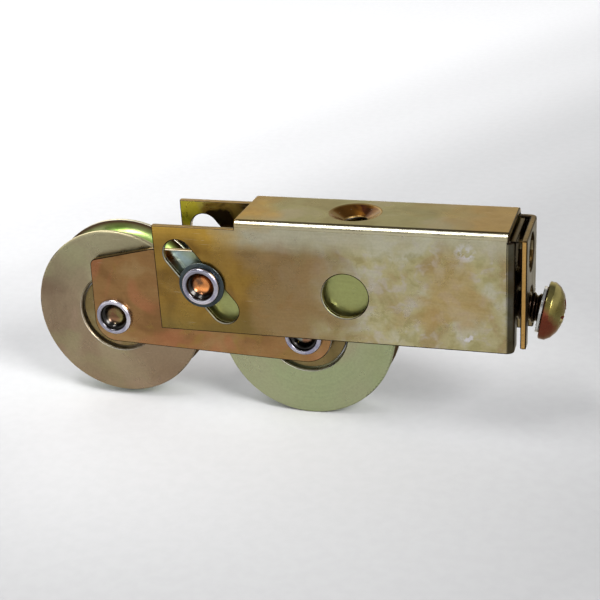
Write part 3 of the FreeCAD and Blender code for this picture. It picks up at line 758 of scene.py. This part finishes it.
# The screw's own frame: x runs along it, out of the head. The CAD mesh is kept from HEAD_START on.
HEAD_START = 3.0 * MM
THREAD_START, THREAD_END = -25.4 * MM, 3.05 * MM
THREAD_MAJOR, THREAD_MINOR, THREAD_PITCH = 3.1 * MM, 2.6 * MM, 1.27 * MM
POINT = 0.92  # the point's radius, as a part of the minor radius
AROUND, ALONG = 48, 12  # vertices around, and rings for each turn


def thread_mesh(bm):
    """Right-hand thread about X, tapering to its point over the first part of a turn."""
    def depth(x, turn):
        phase = (x / THREAD_PITCH - turn) % 1.0
        ridge = 1 - abs(2 * phase - 1)
        return THREAD_MINOR + (THREAD_MAJOR - THREAD_MINOR) * min(1, max(0, ridge * 1.5 - 0.25))

    length, core = THREAD_END - THREAD_START, THREAD_MINOR * POINT
    steps = round(length / THREAD_PITCH * ALONG)
    rings = []
    for step in range(steps + 1):
        x = THREAD_START + length * step / steps
        fade = min(1, (x - THREAD_START) / (0.7 * THREAD_PITCH))
        ring = []
        for index in range(AROUND):
            turn = index / AROUND
            radius = core + (depth(x, turn) - core) * fade
            angle = 2 * math.pi * turn
            ring.append(bm.verts.new((x, radius * math.cos(angle), radius * math.sin(angle))))
        rings.append(ring)
    for first, second in zip(rings, rings[1:]):
        for index in range(AROUND):
            after = (index + 1) % AROUND
            bm.faces.new((first[index], first[after], second[after], second[index]))
    bm.faces.new(rings[0][::-1])
    bm.faces.new(rings[-1])


def make_screw():
    """Adjusting screw: the CAD head with softened edges on a shank with a real helical thread."""
    mesh, bm = start_copy("adjusting_screw")
    bmesh.ops.transform(bm, matrix=SCREW_PLACE.inverted(), verts=bm.verts)
    geometry = bm.verts[:] + bm.edges[:] + bm.faces[:]
    bmesh.ops.bisect_plane(bm, geom=geometry, plane_co=(HEAD_START, 0, 0), plane_no=(1, 0, 0),
                           clear_inner=True)
    bmesh.ops.holes_fill(bm, edges=[edge for edge in bm.edges if edge.is_boundary], sides=0)
    bmesh.ops.dissolve_limit(bm, angle_limit=FLAT_ANGLE, verts=bm.verts, edges=bm.edges)
    for face in bm.faces:
        face.material_index = 0
    past_cut = HEAD_START + 0.1 * MM
    sharp = [edge for edge in sharp_edges(bm) if min(vert.co.x for vert in edge.verts) > past_cut]
    bevel(bm, sharp, 0.12 * MM, clamp=True)
    thread_mesh(bm)
    bmesh.ops.transform(bm, matrix=SCREW_PLACE, verts=bm.verts)
    bmesh.ops.recalc_face_normals(bm, faces=bm.faces)
    store(bm, mesh, 40)
    replace_node("adjusting_screw", mesh, "screw_chromate", "cut_edge_zinc")


# ---------------------------------------------------------------- rivets

RIVET_RIM = 4.1 * MM
RIVET_MOUTH = 2.86 * MM
RIVET_PIN = 3.0 * MM
AXLE_RIM_HEIGHT = 1.05 * MM
GUIDE_RIM_HEIGHT = 0.95 * MM
RIM_SIDE = 0.35 * MM  # height at which the rim starts to curve over
RIM_BREAK = 0.12 * MM
RIM_STEPS = 12
CUP = ((0.0, 2.25), (0.7, 2.2), (1.3, 2.05), (1.75, 1.85), (2.05, 1.6), (2.25, 1.3), (2.5, 0.95),
       (2.72, 0.78))  # radius, and depth below the rim's crown, in millimetres


def lathe(bm, profile, centre, around=72):
    """Surface of revolution about Y through centre, from (radius, y) pairs; a radius of 0 closes it."""
    rings = []
    for radius, height in profile:
        if radius == 0:
            rings.append([bm.verts.new((centre[0], height, centre[2]))])
            continue
        ring = []
        for index in range(around):
            angle = 2 * math.pi * index / around
            ring.append(bm.verts.new((centre[0] + radius * math.cos(angle), height,
                                      centre[2] + radius * math.sin(angle))))
        rings.append(ring)
    for first, second in zip(rings, rings[1:]):
        for index in range(around):
            after = (index + 1) % around
            corners = [first[index % len(first)], first[after % len(first)],
                       second[after % len(second)], second[index % len(second)]]
            bm.faces.new(list(dict.fromkeys(corners)))


def make_rivet(node):
    """Pin with both ends drilled and rolled over into a rounded rim, inside the CAD solid's envelope."""
    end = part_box(node)[1][1]
    seat = end - (GUIDE_RIM_HEIGHT if node == "guide_rivet" else AXLE_RIM_HEIGHT)
    side = seat + RIM_SIDE
    outline = [(radius * MM, end - depth * MM) for radius, depth in CUP]
    middle, reach = (RIVET_RIM + RIVET_MOUTH) / 2, (RIVET_RIM - RIVET_MOUTH) / 2
    for step in range(RIM_STEPS + 1):
        angle = math.pi * (1 - step / RIM_STEPS)
        outline.append((middle + reach * math.cos(angle), side + (end - side) * math.sin(angle)))
    outline += [(RIVET_RIM, seat + RIM_BREAK), (RIVET_RIM - RIM_BREAK, seat), (RIVET_PIN, seat)]
    profile = outline + [(radius, -height) for radius, height in reversed(outline)]
    mesh = bpy.data.meshes.new(f"{node}_finished")
    bm = bmesh.new()
    lathe(bm, profile, centre_of(node))
    bmesh.ops.recalc_face_normals(bm, faces=bm.faces)
    store(bm, mesh, 50)
    replace_node(node, mesh, f"{node}_zinc")


# ---------------------------------------------------------------- pieces

# Widths of the broken edges.
HOUSING_EDGE = 0.24 * MM
BRACKET_EDGE = 0.20 * MM
WHEEL_EDGE = 0.07 * MM
SHIELD_EDGE = 0.20 * MM
WASHER_EDGE = 0.08 * MM
NUT_EDGE = 0.12 * MM


def make_wheel(side):
    """Rim, bearing, shields, axle and its washers of one wheel."""
    softened_copy(f"{side}_wheel_rim", WHEEL_EDGE, f"{side}_wheel_chromate", "cut_edge_zinc")
    dress(f"{side}_outer_race", "bearing_steel")
    dress(f"{side}_inner_race", "bearing_steel")
    make_rivet(f"{side}_axle_rivet")
    for number in range(1, 9):
        dress(f"{side}_ball_{number}", "bearing_steel")
    for end in ("front", "rear"):
        softened_copy(f"{side}_shield_{end}", SHIELD_EDGE, "shield_chromate", "shield_chromate", clamp=True)
        dress(f"{side}_axle_washer_{end}", "washer_zinc")


def make_guide():
    """Rivet in the slots, with its washers and spacer."""
    make_rivet("guide_rivet")
    for end in ("front", "rear"):
        softened_copy(f"guide_washer_{end}", WASHER_EDGE, "washer_zinc", "washer_zinc", clamp=True)
    dress("guide_spacer", "washer_zinc")


softened_copy("housing_channel", HOUSING_EDGE, "housing_chromate", "cut_edge_zinc", housing_sheared)
softened_copy("carriage_bracket", BRACKET_EDGE, "bracket_chromate", "cut_edge_zinc", bracket_sheared)
make_screw()
make_wheel("left")
make_wheel("right")
make_guide()
softened_copy("thrust_washer", WASHER_EDGE, "bright_washer_zinc", "bright_washer_zinc", clamp=True)
softened_copy("adjusting_nut", NUT_EDGE, "washer_zinc", "cut_edge_zinc", clamp=True)


# ---------------------------------------------------------------- floor

PAPER = ((0.63, 0.63, 0.636, 1), (0.65, 0.65, 0.656, 1))
FALLOFF_RANGE = (-0.26, 0.06)  # from the back left to the front right, in metres
FALLOFF = ((0.0, 1.0), (0.29, 0.81), (0.55, 0.60), (0.72, 0.51), (0.97, 0.47))
PATCH_MIDDLE = (-20.0 * MM, 2.0 * MM, 0)
PATCH_RADIUS = 100.0 * MM
PATCH_GAIN = 1.7


def make_floor():
    """White paper with painted light: lighter at the back left and in a soft round patch under the roller
    that lightens its shadow.
    """
    bpy.ops.mesh.primitive_plane_add(size=6, location=(MIDDLE.x, 0, CAD_LOW.z))
    floor = bpy.context.object
    floor.name = "floor"
    graph = Graph("floor_paper")
    paper = graph.ramp(graph.noise(400, 3, 0.5), (0.3, PAPER[0]), (0.7, PAPER[1]))
    across = graph.math("SUBTRACT", graph.axis("X"), graph.times(graph.axis("Y"), 0.6))
    # Painted light falloff from the back left to the front right.
    falloff = graph.ramp(graph.span(across, *FALLOFF_RANGE), *FALLOFF)
    paper = graph.mix(1.0, paper, falloff, "MULTIPLY")
    # Painted light patch under the roller, which lightens its shadow.
    painted_light_patch = graph.span(graph.radius(PATCH_MIDDLE, "Z"), 0.0, PATCH_RADIUS, PATCH_GAIN, 1.0)
    paper = graph.mix(1.0, paper, painted_light_patch, "MULTIPLY")
    graph.shade(Base_Color=paper, Roughness=0.8, Specular_IOR_Level=0.2)
    floor.data.materials.append(graph.material)
    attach(floor, "guide")  # the wheels stay on the floor while the housing's height is adjusted


# ---------------------------------------------------------------- light

# Rectangular lights: direction from the roller's middle, distance, size, power in watts.
LIGHTS = {
    "top_strip": ((-0.28, -0.22, 0.93), 0.9, (0.55, 0.15), 5),
    "upper_right": ((0.667, -0.455, 0.556), 0.9, (0.36, 0.36), 10),
    "back_left": ((-0.8, 0.75, 0.6), 1.3, (0.8, 0.8), 7),
}
SKY = ((0.0, 0.75), (0.45, 0.70), (0.66, 0.16), (1.0, 0.25))  # height in the sky, brightness
SKY_STRENGTH = 1.8


def make_light(name, direction, distance, size, power):
    data = bpy.data.lights.new(name, "AREA")
    data.shape = "RECTANGLE"
    data.size, data.size_y = size
    data.energy = power
    light = bpy.data.objects.new(name, data)
    bpy.context.scene.collection.objects.link(light)
    offset = Vector(direction).normalized() * distance
    light.location = MIDDLE + offset
    light.rotation_euler = (-offset).to_track_quat("-Z", "Y").to_euler()


def make_sky():
    """Surroundings bright from below and from the sides, dimmer above."""
    world = bpy.data.worlds.new("studio")
    world.use_nodes = True
    tree = world.node_tree
    background = tree.nodes["Background"]
    split = tree.nodes.new("ShaderNodeSeparateXYZ")
    tree.links.new(tree.nodes.new("ShaderNodeTexCoord").outputs["Generated"], split.inputs[0])
    ramp = tree.nodes.new("ShaderNodeValToRGB")
    tree.links.new(split.outputs["Z"], ramp.inputs[0])
    elements = ramp.color_ramp.elements
    while len(elements) < len(SKY):
        elements.new(0.5)
    for element, (position, value) in zip(elements, SKY):
        element.position = position
        element.color = (value * 0.98, value * 0.985, value, 1)
    tree.links.new(ramp.outputs[0], background.inputs["Color"])
    background.inputs["Strength"].default_value = SKY_STRENGTH
    bpy.context.scene.world = world


# ---------------------------------------------------------------- camera

CAMERA_PLACE = (0.02941, -0.24226, 0.09511)
CAMERA_FORWARD = (-0.28288, 0.87469, -0.39357)
CAMERA_ROLL = math.radians(3.376)
FOCAL_LENGTH, SENSOR_WIDTH = 77.8, 36  # in millimetres


def make_camera():
    """Camera of the main view, slightly rolled."""
    data = bpy.data.cameras.new("camera")
    data.sensor_width = SENSOR_WIDTH
    data.lens = FOCAL_LENGTH
    data.clip_start = 0.01
    data.clip_end = 20
    camera = bpy.data.objects.new("camera", data)
    bpy.context.scene.collection.objects.link(camera)
    forward = Vector(CAMERA_FORWARD).normalized()
    level = forward.cross(Vector((0, 0, 1))).normalized()
    down = forward.cross(level)
    right = level * math.cos(CAMERA_ROLL) + down * math.sin(CAMERA_ROLL)
    up = right.cross(forward)
    turn = Matrix((right, up, -forward)).transposed()
    camera.matrix_world = Matrix.Translation(CAMERA_PLACE) @ turn.to_4x4()
    bpy.context.scene.camera = camera


make_floor()
for name, settings in LIGHTS.items():
    make_light(name, *settings)
make_sky()
make_camera()
bpy.context.scene.view_settings.view_transform = "Standard"
bpy.context.scene.view_settings.look = "None"
